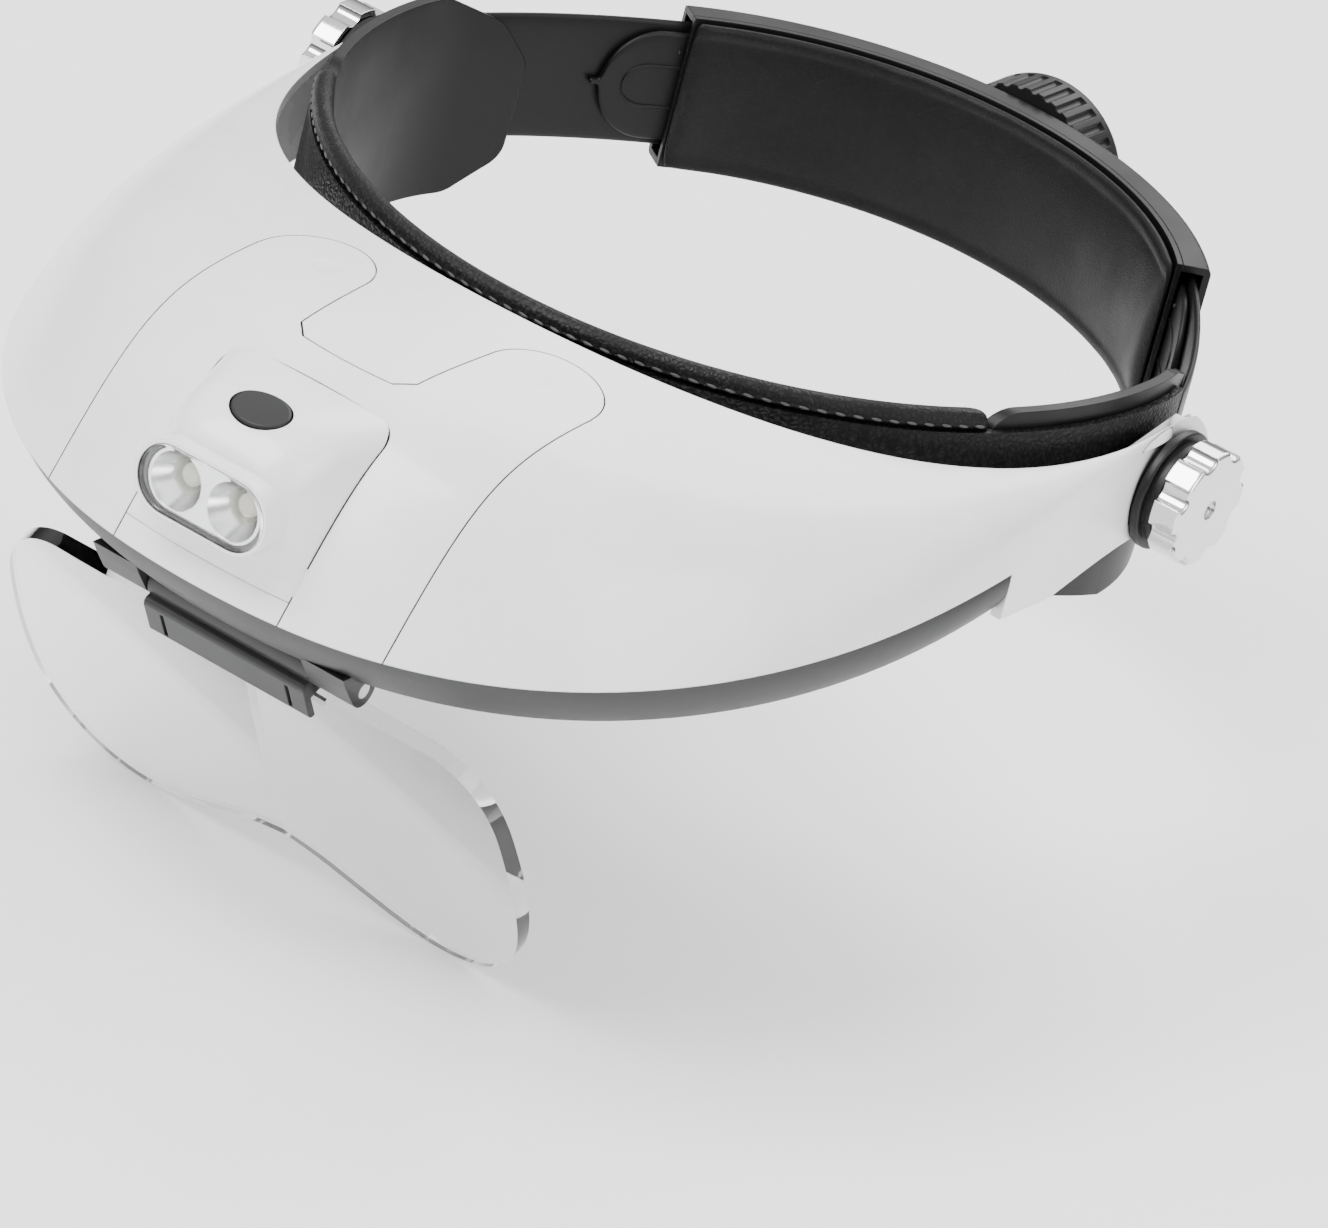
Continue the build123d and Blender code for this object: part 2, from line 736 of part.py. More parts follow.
def temple_plate(side):
    """Rounded plate inside the band at one temple, with a blind seat for the bolt's head."""
    with BuildPart() as plate:
        band_ring(LINING_LAYER, (-45.0, 0.0))
        with BuildSketch(Plane.YZ.offset(side * 60)) as outline:
            with BuildLine():
                Polyline(
                    (PLATE_FRONT_Y, -0.8),
                    (8, -0.8),
                    (21, -6.5),
                    (27.4, -15),
                    (26.8, -35),
                    (17, -42.5),
                    (0, -44),
                    (-18, -40),
                    (PLATE_FRONT_Y, -37),
                    close=True,
                )
            make_face()
            fillet(outline.vertices().group_by(Axis.Y)[1:], 6)
        extrude(outline.sketch, amount=side * 40, mode=Mode.INTERSECT)
        rod_x(side * 83.9, side * 90, PIVOT_Y, PIVOT_Z, BOLT_HEAD_RADIUS + 0.1, Mode.SUBTRACT)
    return plate.part


def pivot_bolt(side):
    """Bolt with a flat head in the temple plate and a shank out through arm and knob."""
    with BuildPart() as bolt:
        rod_x(side * 84.0, side * 84.8, PIVOT_Y, PIVOT_Z, BOLT_HEAD_RADIUS)
        rod_x(side * 84.8, side * (KNOB_X + 4.4), PIVOT_Y, PIVOT_Z, BOLT_RADIUS)
    return bolt.part


def pivot_spacer(side):
    """Inner friction disc between band and arm."""
    with BuildPart() as spacer:
        rod_x(side * 87.2, side * 88.6, PIVOT_Y, PIVOT_Z, 8.0)
        rod_x(side * 80, side * 95, PIVOT_Y, PIVOT_Z, BOLT_RADIUS + 0.02, Mode.SUBTRACT)
    return spacer.part


def pivot_washer(side):
    """Two-step washer between arm and knob."""
    with BuildPart() as washer:
        rod_x(side * WASHER_X, side * (WASHER_X + 1.9), PIVOT_Y, PIVOT_Z, 11.6)
        rod_x(side * (WASHER_X + 1.9), side * (KNOB_X - 0.2), PIVOT_Y, PIVOT_Z, 10.0)
        rod_x(side * 90, side * 99, PIVOT_Y, PIVOT_Z, BOLT_RADIUS + 0.02, Mode.SUBTRACT)
        fillet(washer.edges().filter_by(GeomType.CIRCLE).group_by(SortBy.RADIUS)[-1], 0.5)
    return washer.part


def pivot_knob(side):
    """Lobed clamp knob with a screw recess in its face."""
    face_x = KNOB_X + KNOB_LENGTH
    with BuildPart() as knob:
        rod_x(side * KNOB_X, side * face_x, PIVOT_Y, PIVOT_Z, KNOB_RADIUS)
        for lobe in range(KNOB_LOBES):
            y, z = polar((PIVOT_Y, PIVOT_Z), KNOB_RADIUS + 1.1, (lobe + 0.5) * 360 / KNOB_LOBES)
            rod_x(side * (KNOB_X - 1), side * (face_x + 1), y, z, 2.5, Mode.SUBTRACT)
        fillet(knob.faces().sort_by(Axis.X)[-1 if side > 0 else 0].edges(), 0.8)
        rod_x(
            side * (KNOB_X - 1), side * (KNOB_X + 4.6), PIVOT_Y, PIVOT_Z,
            BOLT_RADIUS + RUNNING_GAP, Mode.SUBTRACT,
        )
        rod_x(side * (face_x - 0.9), side * (face_x + 1), PIVOT_Y, PIVOT_Z, 1.9, Mode.SUBTRACT)
    return knob.part


mirrored_pair(temple_plate, "temple_plate")
mirrored_pair(pivot_bolt, "pivot_bolt")
mirrored_pair(pivot_spacer, "pivot_spacer")
mirrored_pair(pivot_washer, "pivot_washer")
mirrored_pair(pivot_knob, "pivot_knob")


# ---------------------------------------------------------------- straps and rear housing

def rear_wedge(degrees, side=0):
    """Keep the part of the ring behind the head, up to an angle each side of the middle."""
    reach = 140
    start = 0 if side > 0 else -degrees
    stop = 0 if side < 0 else degrees
    with BuildSketch(Plane.XY.offset(-60)) as wedge:
        with BuildLine():
            Polyline(
                REAR_CENTRE,
                polar(REAR_CENTRE, reach, 90 - start),
                polar(REAR_CENTRE, reach * 1.4, 90 - (start + stop) / 2),
                polar(REAR_CENTRE, reach, 90 - stop),
                close=True,
            )
        make_face()
    extrude(wedge.sketch, amount=80, mode=Mode.INTERSECT)


def side_strap(side):
    """Strap from the band's end back into the rear housing."""
    with BuildPart() as strap:
        band_ring(STRAP_LAYER, STRAP_LEVELS)
        low, high = sorted((side * 55, side * 100))
        keep_box((low, BAND_END_Y + 0.3, -60), (high, 63.0, 10))
    return strap.part


def rack(side):
    """Toothed strip with a full-height rounded end, running in the housing past the pinion."""
    tooth_edge = DIAL_Z + side * (PINION_TIP + 0.4)
    far_edge = DIAL_Z + side * 12.5
    with BuildPart() as strip:
        band_ring(RACK_LAYER, (-30.2, -7.6))
        low, high = sorted((side * 20, side * 100))
        keep_box((low, 41.0, -60), (high, 120.0, 10))
        with BuildSketch(Plane.YZ.offset(side * 40)) as end:
            with Locations((52.4, DIAL_Z + 0.1)):
                Circle(11.4)
            with Locations((52.4 + 40, DIAL_Z + 0.1)):
                Rectangle(80, 22.8)
        extrude(end.sketch, amount=side * 60, mode=Mode.INTERSECT)
        with BuildSketch(Plane.YZ.offset(side * 40)) as tab:
            with BuildLine():
                Polyline((60, -23.0), (49, -23.0), (46.5, -20.5), (46.5, -19.5))
                offset(amount=0.35)
            make_face()
        extrude(tab.sketch, amount=side * 60, mode=Mode.SUBTRACT)
    with BuildPart() as tail:
        band_ring(RACK_LAYER, sorted((tooth_edge, far_edge)))
        rear_wedge(48, 0)
        for tooth in range(-6, 7):
            x, y = polar(REAR_CENTRE, REAR_RADIUS, 90 - tooth * 2.1)
            with Locations(Location((x, y, tooth_edge), (0, 0, -tooth * 2.1))):
                Box(1.3, 6, 2.2, mode=Mode.SUBTRACT)
        keep = sorted((side * -14, side * 70))
        keep_box((keep[0], 40, -60), (keep[1], 120, 10))
    with BuildPart() as whole:
        add(strip.part)
        with BuildSketch(Plane.XY.offset(-60)) as near:
            with Locations((side * 70, 55)):
                Rectangle(60, 30)
        extrude(near.sketch, amount=80, mode=Mode.INTERSECT)
        add(tail.part)
    return whole.part


mirrored_pair(side_strap, "side_strap")
mirrored_pair(rack, "rack")

SHAFT_PLANE = Plane(origin=(0, 0, DIAL_Z), x_dir=(-1, 0, 0), z_dir=(0, 1, 0))


def disc_y(y0, y1, radius, mode=Mode.ADD):
    """Cylinder along Y on the dial's axis."""
    with BuildSketch(SHAFT_PLANE.offset(y0)) as disc:
        Circle(radius)
    extrude(disc.sketch, amount=y1 - y0, mode=mode)


REAR_SCREWS = ((30, -21.5), (30, -29.0), (-30, -9.0), (-30, -16.5))


def rear_screw_rods(radius, reach, mode=Mode.ADD):
    """Radial rods at the four screws of the rear housing."""
    for turn, z in REAR_SCREWS:
        place = Plane(
            origin=(*polar(REAR_CENTRE, REAR_RADIUS + PAD_LAYER[1] + 0.2, 90 - turn), z),
            z_dir=(*polar((0, 0), 1, 90 - turn), 0),
        )
        with BuildSketch(place) as shank:
            Circle(radius)
        extrude(shank.sketch, amount=reach, mode=mode)


with BuildPart() as housing_outer:
    band_ring((HOUSING_INSIDE, HOUSING_OUTSIDE), HOUSING_LEVELS)
    rear_wedge(90 - STRAP_TURN)
    fillet(
        housing_outer.edges().filter_by(GeomType.CIRCLE).group_by(SortBy.RADIUS)[-1], 1.2
    )
    with BuildSketch(Plane.XY.offset(HOUSING_LEVELS[0] + HOUSING_WALL)) as hollow:
        band_outline(HOUSING_OUTSIDE - HOUSING_WALL)
        band_outline(HOUSING_INSIDE - 1, mode=Mode.SUBTRACT)
    extrude(
        hollow.sketch,
        amount=HOUSING_LEVELS[1] - HOUSING_LEVELS[0] - 2 * HOUSING_WALL,
        mode=Mode.SUBTRACT,
    )
    disc_y(70, 100, BOLT_RADIUS + RUNNING_GAP, Mode.SUBTRACT)
finish(housing_outer.part, "rear_housing_outer")

with BuildPart() as housing_inner:
    band_ring((PAD_LAYER[1] + 0.1, HOUSING_INSIDE - 0.1), HOUSING_LEVELS)
    rear_wedge(90 - STRAP_TURN)
    rear_screw_rods(1.05, 5.0, Mode.SUBTRACT)
finish(housing_inner.part, "rear_housing_inner")

with BuildPart() as pad:
    band_ring(PAD_LAYER, (HOUSING_LEVELS[0] + 0.5, HOUSING_LEVELS[1] - 0.6))
    rear_wedge(90 - STRAP_TURN)
finish(pad.part, "rear_pad")

with BuildPart() as pinion:
    disc_y(REAR_Y - 1.6, REAR_Y + 1.8, PINION_ROOT)
    for tooth in range(PINION_TEETH):
        turn = 360 / PINION_TEETH * tooth
        with BuildSketch(SHAFT_PLANE.offset(REAR_Y - 1.6)) as flank:
            with Locations(Location((0, 0, 0), turn)):
                with Locations((PINION_ROOT + 0.5, 0)):
                    Trapezoid(1.3, 1.6, 80, rotation=-90)
        extrude(flank.sketch, amount=3.4)
    disc_y(REAR_Y + 1.8, REAR_Y + 9.0, BOLT_RADIUS)
finish(pinion.part, "pinion")

DIAL_Y = REAR_Y + HOUSING_OUTSIDE + 0.4
with BuildPart() as dial:
    disc_y(DIAL_Y, DIAL_Y + DIAL_DEPTH, DIAL_RADIUS)
    fillet(dial.faces().sort_by(Axis.Y)[-1].edges(), 2.0)
    for rib in range(36):
        x, z = polar((0, 0), DIAL_RADIUS + 0.4, rib * 10)
        with BuildSketch(SHAFT_PLANE.offset(DIAL_Y - 1)) as groove:
            with Locations((x, z)):
                Circle(1.0)
        extrude(groove.sketch, amount=DIAL_DEPTH - 2, mode=Mode.SUBTRACT)
    disc_y(DIAL_Y - 1, DIAL_Y + 8, BOLT_RADIUS, Mode.SUBTRACT)
    disc_y(DIAL_Y - 1, DIAL_Y + 3, 9.0, Mode.SUBTRACT)
finish(dial.part, "ratchet_dial")

with BuildPart() as pawl:
    disc_y(DIAL_Y - 0.2, DIAL_Y + 1.6, 8.4)
    disc_y(DIAL_Y - 1, DIAL_Y + 2, 7.2, Mode.SUBTRACT)
    keep_box((-10, 60, DIAL_Z - 9), (10, 110, DIAL_Z + 4))
finish(pawl.part, "pawl_spring")

with BuildPart() as rear_screws:
    rear_screw_rods(1.0, 5.0)
finish(rear_screws.part, "rear_housing_screws")
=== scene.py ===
import json
import math

import bmesh
import bpy
from mathutils import Matrix, Vector, noise


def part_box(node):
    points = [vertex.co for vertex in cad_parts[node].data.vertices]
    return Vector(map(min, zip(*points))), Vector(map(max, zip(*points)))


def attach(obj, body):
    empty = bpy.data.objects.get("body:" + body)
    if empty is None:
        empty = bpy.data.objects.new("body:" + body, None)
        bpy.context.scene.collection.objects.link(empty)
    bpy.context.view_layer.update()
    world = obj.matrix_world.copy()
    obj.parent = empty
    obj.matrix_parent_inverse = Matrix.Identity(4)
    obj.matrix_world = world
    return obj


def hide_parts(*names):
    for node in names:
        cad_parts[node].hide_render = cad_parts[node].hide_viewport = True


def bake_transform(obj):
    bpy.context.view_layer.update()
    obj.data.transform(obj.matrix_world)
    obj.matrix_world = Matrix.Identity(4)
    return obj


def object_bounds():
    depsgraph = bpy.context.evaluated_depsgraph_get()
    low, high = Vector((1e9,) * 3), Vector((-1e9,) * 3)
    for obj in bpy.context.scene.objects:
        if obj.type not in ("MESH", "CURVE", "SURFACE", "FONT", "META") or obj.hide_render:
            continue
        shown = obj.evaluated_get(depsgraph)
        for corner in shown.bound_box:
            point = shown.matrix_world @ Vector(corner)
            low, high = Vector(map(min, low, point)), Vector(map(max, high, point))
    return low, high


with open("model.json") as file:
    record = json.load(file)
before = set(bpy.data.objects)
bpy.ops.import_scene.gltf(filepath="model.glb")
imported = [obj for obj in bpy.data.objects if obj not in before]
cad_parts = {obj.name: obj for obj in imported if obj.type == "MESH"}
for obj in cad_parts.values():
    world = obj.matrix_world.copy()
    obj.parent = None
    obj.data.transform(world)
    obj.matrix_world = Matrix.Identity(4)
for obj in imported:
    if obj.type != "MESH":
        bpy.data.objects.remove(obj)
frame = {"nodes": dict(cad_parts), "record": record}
CAD_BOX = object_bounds()
NODES = frame["nodes"]
MM = 0.001


# ---------------------------------------------------------------- materials

def new_material(
    name, colour, rough, metal=0.0, coat=0.0, transmission=0.0, ior=1.49, shine=0.5
):
    """Principled material with its constants on the shader's own sockets."""
    material = bpy.data.materials.new(name)
    material.use_nodes = True
    shader = material.node_tree.nodes["Principled BSDF"]
    shader.inputs["Base Color"].default_value = (*colour, 1.0)
    shader.inputs["Roughness"].default_value = rough
    shader.inputs["Metallic"].default_value = metal
    shader.inputs["Coat Weight"].default_value = coat
    shader.inputs["Coat Roughness"].default_value = 0.12
    shader.inputs["Transmission Weight"].default_value = transmission
    shader.inputs["IOR"].default_value = ior
    shader.inputs["Specular IOR Level"].default_value = shine
    return material


def place_texture(material, stretch=(1.0, 1.0, 1.0)):
    """Object coordinates, scaled along each axis."""
    nodes, links = material.node_tree.nodes, material.node_tree.links
    coords = nodes.new("ShaderNodeTexCoord")
    mapping = nodes.new("ShaderNodeMapping")
    mapping.inputs["Scale"].default_value = stretch
    links.new(coords.outputs["Object"], mapping.inputs["Vector"])
    return mapping.outputs["Vector"]


def noise_value(material, vector, scale, detail=3.0):
    """Value output of a noise texture."""
    texture = material.node_tree.nodes.new("ShaderNodeTexNoise")
    texture.inputs["Scale"].default_value = scale
    texture.inputs["Detail"].default_value = detail
    material.node_tree.links.new(vector, texture.inputs["Vector"])
    return texture.outputs["Fac"]


def vary_roughness(material, value, low, high):
    """Roughness that drifts between two values."""
    remap = material.node_tree.nodes.new("ShaderNodeMapRange")
    remap.inputs["From Min"].default_value = 0.3
    remap.inputs["From Max"].default_value = 0.7
    remap.inputs["To Min"].default_value = low
    remap.inputs["To Max"].default_value = high
    shader = material.node_tree.nodes["Principled BSDF"]
    material.node_tree.links.new(value, remap.inputs["Value"])
    material.node_tree.links.new(remap.outputs["Result"], shader.inputs["Roughness"])


def vary_colour(material, value, dark, light):
    """Base colour that drifts between two shades."""
    ramp = material.node_tree.nodes.new("ShaderNodeValToRGB")
    ramp.color_ramp.elements[0].position = 0.32
    ramp.color_ramp.elements[0].color = (*dark, 1.0)
    ramp.color_ramp.elements[1].position = 0.7
    ramp.color_ramp.elements[1].color = (*light, 1.0)
    shader = material.node_tree.nodes["Principled BSDF"]
    material.node_tree.links.new(value, ramp.inputs["Fac"])
    material.node_tree.links.new(ramp.outputs["Color"], shader.inputs["Base Color"])


def add_bump(material, height, depth_mm, strength, edge_mm=0.0):
    """Bump, over edges softened by a small radius."""
    nodes, links = material.node_tree.nodes, material.node_tree.links
    bump = nodes.new("ShaderNodeBump")
    bump.inputs["Strength"].default_value = strength
    bump.inputs["Distance"].default_value = depth_mm * MM
    links.new(height, bump.inputs["Height"])
    if edge_mm > 0:
        edge = nodes.new("ShaderNodeBevel")
        edge.samples = 6
        edge.inputs["Radius"].default_value = edge_mm * MM
        links.new(edge.outputs["Normal"], bump.inputs["Normal"])
    links.new(bump.outputs["Normal"], nodes["Principled BSDF"].inputs["Normal"])


def plastic(
    name, dark, light, rough, coat=0.0, grain=1500.0, depth=0.02, edge=0.3, shine=0.5
):
    """Moulded plastic: faint mottling, uneven sheen, fine surface texture."""
    material = new_material(name, light, rough[0], coat=coat, shine=shine)
    vector = place_texture(material)
    broad = noise_value(material, vector, 45.0)
    vary_roughness(material, broad, *rough)
    vary_colour(material, broad, dark, light)
    add_bump(material, noise_value(material, vector, grain, 2.0), depth, 0.5, edge)
    return material


def leather(name, dark, light, rough, cell=950.0, depth=0.12):
    """Grained artificial leather: pebbles from a cell pattern, creased by a broad noise."""
    material = new_material(name, light, rough[0], shine=0.2)
    nodes, links = material.node_tree.nodes, material.node_tree.links
    vector = place_texture(material)
    cells = nodes.new("ShaderNodeTexVoronoi")
    cells.feature = "DISTANCE_TO_EDGE"
    cells.inputs["Scale"].default_value = cell
    links.new(vector, cells.inputs["Vector"])
    pebbles = nodes.new("ShaderNodeMapRange")
    pebbles.inputs["From Max"].default_value = 0.35
    links.new(cells.outputs["Distance"], pebbles.inputs["Value"])
    crease = noise_value(material, vector, 160.0, 5.0)
    height = nodes.new("ShaderNodeMath")
    height.operation = "ADD"
    links.new(pebbles.outputs["Result"], height.inputs[0])
    links.new(crease, height.inputs[1])
    broad = noise_value(material, vector, 60.0)
    vary_roughness(material, broad, *rough)
    vary_colour(material, pebbles.outputs["Result"], dark, light)
    add_bump(material, height.outputs["Value"], depth, 0.7)
    return material


def metal(name, colour, rough, stretch=(1.0, 1.0, 1.0), grain=900.0, depth=0.01):
    """Metal with fine drawn marks and a patchy polish."""
    material = new_material(name, colour, rough[0], metal=1.0)
    vector = place_texture(material, stretch)
    vary_roughness(material, noise_value(material, vector, 220.0, 4.0), *rough)
    add_bump(material, noise_value(material, vector, grain, 2.0), depth, 0.4, 0.25)
    return material


def clear(name, colour, rough, ior=1.49):
    """Clear moulded plastic with a very slight ripple."""
    material = new_material(name, colour, rough[0], transmission=1.0, ior=ior)
    vector = place_texture(material)
    vary_roughness(material, noise_value(material, vector, 90.0), *rough)
    add_bump(material, noise_value(material, vector, 35.0, 1.0), 0.04, 0.25)
    return material


def paint_gap_shade(material, reach_mm, floor):
    """Painted shade: ambient occlusion darkens the base colour on the walls of narrow parting gaps."""
    nodes, links = material.node_tree.nodes, material.node_tree.links
    socket = nodes["Principled BSDF"].inputs["Base Color"]
    colour = socket.links[0].from_socket
    shade = nodes.new("ShaderNodeAmbientOcclusion")
    shade.samples = 6
    shade.inputs["Distance"].default_value = reach_mm * MM
    lift = nodes.new("ShaderNodeMapRange")
    lift.inputs["From Min"].default_value = 0.25
    lift.inputs["From Max"].default_value = 0.75
    lift.inputs["To Min"].default_value = floor
    links.new(shade.outputs["AO"], lift.inputs["Value"])
    scale = nodes.new("ShaderNodeVectorMath")
    scale.operation = "SCALE"
    links.new(colour, scale.inputs[0])
    links.new(lift.outputs["Result"], scale.inputs["Scale"])
    links.new(scale.outputs["Vector"], socket)


LOOKS = {
    "shell_white": plastic(
        "shell_white", (0.78, 0.78, 0.785), (0.83, 0.83, 0.83), (0.22, 0.32), 0.3, 900.0, 0.01
    ),
    "trim_grey": plastic(
        "trim_grey", (0.024, 0.024, 0.025), (0.034, 0.034, 0.035), (0.38, 0.5), shine=0.35
    ),
    "window_clear": clear("window_clear", (0.97, 0.98, 0.98), (0.0, 0.03)),
    "lens_clear": clear("lens_clear", (0.985, 0.99, 0.99), (0.0, 0.02)),
    "reflector_bright": metal("reflector_bright", (0.88, 0.88, 0.88), (0.16, 0.3)),
    "emitter": plastic("emitter", (0.85, 0.82, 0.62), (0.95, 0.93, 0.8), (0.1, 0.2), 0.6),
    "board_green": plastic("board_green", (0.03, 0.16, 0.07), (0.05, 0.22, 0.1), (0.35, 0.5)),
    "button_dark": plastic(
        "button_dark", (0.01, 0.01, 0.0105), (0.018, 0.018, 0.0185), (0.42, 0.55), shine=0.3
    ),
    "switch_black": plastic("switch_black", (0.02, 0.02, 0.02), (0.03, 0.03, 0.03), (0.4, 0.5)),
    "steel": metal("steel", (0.62, 0.62, 0.63), (0.22, 0.38), (1.0, 6.0, 1.0)),
    "cell_jacket": plastic("cell_jacket", (0.08, 0.1, 0.15), (0.13, 0.15, 0.2), (0.2, 0.3), 0.4),
    "lining_leather": leather(
        "lining_leather", (0.002, 0.002, 0.002), (0.006, 0.006, 0.006), (0.4, 0.6)
    ),
    "pad_black": leather(
        "pad_black", (0.003, 0.003, 0.003), (0.005, 0.005, 0.005), (0.42, 0.6), 1500.0, 0.05
    ),
    "knob_chrome": metal("knob_chrome", (0.7, 0.7, 0.71), (0.04, 0.1)),
    "washer_black": plastic(
        "washer_black", (0.003, 0.003, 0.003), (0.007, 0.007, 0.007), (0.35, 0.5), shine=0.3
    ),
    "dial_black": plastic(
        "dial_black", (0.004, 0.004, 0.004), (0.008, 0.008, 0.008), (0.4, 0.52), shine=0.3
    ),
    "band_black": plastic(
        "band_black", (0.003, 0.003, 0.003), (0.005, 0.005, 0.005), (0.34, 0.5), shine=0.22
    ),
}
THREAD = plastic(
    "thread_grey", (0.03, 0.03, 0.03), (0.07, 0.07, 0.07), (0.6, 0.8), 0.0, 4000.0, 0.05
)
BAND_LEATHER = leather(
    "band_leather", (0.002, 0.002, 0.002), (0.007, 0.007, 0.007), (0.32, 0.5), 850.0, 0.16
)

# Painted shade in the white shell's parting gaps, from ambient occlusion in the base colour.
paint_gap_shade(LOOKS["shell_white"], 2.0, 0.04)

NODE_SLOTS = {entry["node"]: entry["material_slot"] for entry in frame["record"]["subparts"]}
for node_name, node in NODES.items():
    look = BAND_LEATHER if node_name == "front_band" else LOOKS[NODE_SLOTS[node_name]]
    if not node.material_slots:
        node.data.materials.append(None)
    for material_slot in node.material_slots:
        material_slot.link = "OBJECT"
        material_slot.material = look


# ---------------------------------------------------------------- headband line

# The same line as the CAD headband, in millimetres.
BAND_RADIUS = 85.7
SIDE_RADIUS = 40.0
STRAP_RADIUS = 181.0
SIDE_TURN = math.radians(23.3)
STRAP_TURN = math.radians(38.0)
SIDE_CENTRE = Vector((BAND_RADIUS - SIDE_RADIUS, 0.0))


def direction(turn):
    """Unit vector in the plan."""
    return Vector((math.cos(turn), math.sin(turn)))


SIDE_END = SIDE_CENTRE + SIDE_RADIUS * direction(SIDE_TURN)
STRAP_CENTRE = SIDE_END - STRAP_RADIUS * direction(SIDE_TURN)
STRAP_END = STRAP_CENTRE + STRAP_RADIUS * direction(STRAP_TURN)
REAR_RADIUS = STRAP_END.x / math.cos(STRAP_TURN)
REAR_CENTRE = Vector((0.0, STRAP_END.y - REAR_RADIUS * math.sin(STRAP_TURN)))
RUNS = (
    (Vector((0.0, 0.0)), BAND_RADIUS, -math.pi / 2, 0.0),
    (SIDE_CENTRE, SIDE_RADIUS, 0.0, SIDE_TURN),
    (STRAP_CENTRE, STRAP_RADIUS, SIDE_TURN, STRAP_TURN),
    (REAR_CENTRE, REAR_RADIUS, STRAP_TURN, math.pi / 2),
)
HALF_RING = sum(radius * (stop - start) for _, radius, start, stop in RUNS)


def ring_place(along):
    """Point and outward direction on the headband line; along runs from the front centre."""
    flip = 1.0
    if along < 0:
        along, flip = -along, -1.0
    if along > HALF_RING:
        along, flip = 2 * HALF_RING - along, -flip
    for centre, radius, start, stop in RUNS:
        length = radius * (stop - start)
        if along <= length + 1e-6:
            out = direction(start + along / radius)
            point = centre + radius * out
            return Vector((flip * point.x, point.y)), Vector((flip * out.x, out.y))
        along -= length
    return Vector((0.0, REAR_CENTRE.y + REAR_RADIUS)), Vector((0.0, 1.0))


def on_ring(along, offset, height):
    """Point in metres, offset square to the headband line."""
    point, out = ring_place(along)
    flat = point + out * offset
    return Vector((flat.x * MM, flat.y * MM, height * MM))


def along_at(depth):
    """Way along the ring, on the left behind the temple, where it reaches a depth in Y."""
    low, high = BAND_RADIUS * math.pi / 2, HALF_RING
    for _ in range(40):
        middle = (low + high) / 2
        if ring_place(middle)[0].y < depth:
            low = middle
        else:
            high = middle
    return low


def add_mesh(name, vertices, faces, material, smooth=True):
    """New object from points and faces."""
    mesh = bpy.data.meshes.new(name)
    mesh.from_pydata([tuple(v) for v in vertices], [], faces)
    mesh.materials.append(material)
    work = bmesh.new()
    work.from_mesh(mesh)
    bmesh.ops.recalc_face_normals(work, faces=work.faces)
    work.to_mesh(mesh)
    work.free()
    for face in mesh.polygons:
        face.use_smooth = smooth
    piece = bpy.data.objects.new(name, mesh)
    bpy.context.scene.collection.objects.link(piece)
    return piece


def swept(name, stations, section, material, levels=1):
    """Closed section swept along the headband line, with rounded caps."""
    vertices, faces = [], []
    for along in stations:
        vertices += [on_ring(along, offset, height) for offset, height in section(along)]
    count = len(section(stations[0]))
    for i in range(len(stations) - 1):
        for j in range(count):
            k = (j + 1) % count
            faces.append((i * count + j, i * count + k, (i + 1) * count + k, (i + 1) * count + j))
    last = (len(stations) - 1) * count
    faces.append(tuple(range(count)))
    faces.append(tuple(range(last, last + count)))
    piece = add_mesh(name, vertices, faces, material)
    if levels:
        rounded = piece.modifiers.new("rounded", "SUBSURF")
        rounded.levels = levels
        rounded.render_levels = levels
    return piece


def spread(start, stop, step):
    """Evenly spread values between two limits."""
    count = max(2, round(abs(stop - start) / step))
    return [start + (stop - start) * i / count for i in range(count + 1)]


def crease(along, height, amount):
    """Small uneven shift of a soft surface."""
    return amount * noise.noise(Vector((along / 7.0, height / 5.0, 2.7)))


STITCH_PITCH = 3.3
STITCH_LENGTH = 2.1
STITCH_SLANT = math.radians(7)


def stitches(name, reach, offset, height, radius, body):
    """Row of separate thread stitches along the headband line, either side of the front."""
    work = bmesh.new()
    for along in spread(-reach, reach, STITCH_PITCH):
        out = ring_place(along)[1]
        flat = Vector((-out.y, out.x, 0.0))
        basis = Matrix((flat, (out.x, out.y, 0.0), (0.0, 0.0, 1.0))).transposed().to_4x4()
        size = Matrix.Diagonal((STITCH_LENGTH / 2 * MM, radius * MM, radius * 1.2 * MM, 1.0))
        spot = Matrix.Translation(on_ring(along, offset, height))
        tilt = Matrix.Rotation(STITCH_SLANT, 4, "Y")
        bmesh.ops.create_uvsphere(
            work, u_segments=8, v_segments=8, radius=1.0, matrix=spot @ basis @ tilt @ size
        )
    mesh = bpy.data.meshes.new(name)
    work.to_mesh(mesh)
    work.free()
    mesh.materials.append(THREAD)
    for face in mesh.polygons:
        face.use_smooth = True
    piece = bpy.data.objects.new(name, mesh)
    bpy.context.scene.collection.objects.link(piece)
    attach(piece, body)
    return piece


# ---------------------------------------------------------------- sweatband

LINING_END = 93.0
LINING_SECTION = (
    (-0.15, -33.2), (-0.15, -24.0), (-0.15, -14.0), (-0.15, -5.0), (0.3, -3.7), (1.2, -3.2),
    (1.5, -1.9), (0.9, -0.5), (-0.5, 0.0), (-1.9, -0.4), (-2.6, -1.6), (-2.5, -2.9),
    (-1.9, -3.7), (-2.7, -5.0), (-3.4, -9.0), (-3.8, -16.0), (-3.5, -24.0), (-2.8, -29.6),
    (-1.9, -31.2), (-2.4, -32.4), (-2.0, -33.6), (-1.0, -34.0),
)


def lining_section(along):
    """Soft lining with a rolled hem on top and a seam along each edge."""
    end = min(1.0, (LINING_END - abs(along)) / 5.0)
    keep = math.sqrt(max(0.0, 1.0 - (1.0 - end) ** 2))
    points = []
    for offset, height in LINING_SECTION:
        soft = crease(along, height, 0.35) if offset < -2.2 else 0.0
        points.append(
            (
                -0.9 + (offset + 0.9 + soft) * (0.35 + 0.65 * keep),
                -17.0 + (height + 17.0) * (0.86 + 0.14 * keep),
            )
        )
    return points


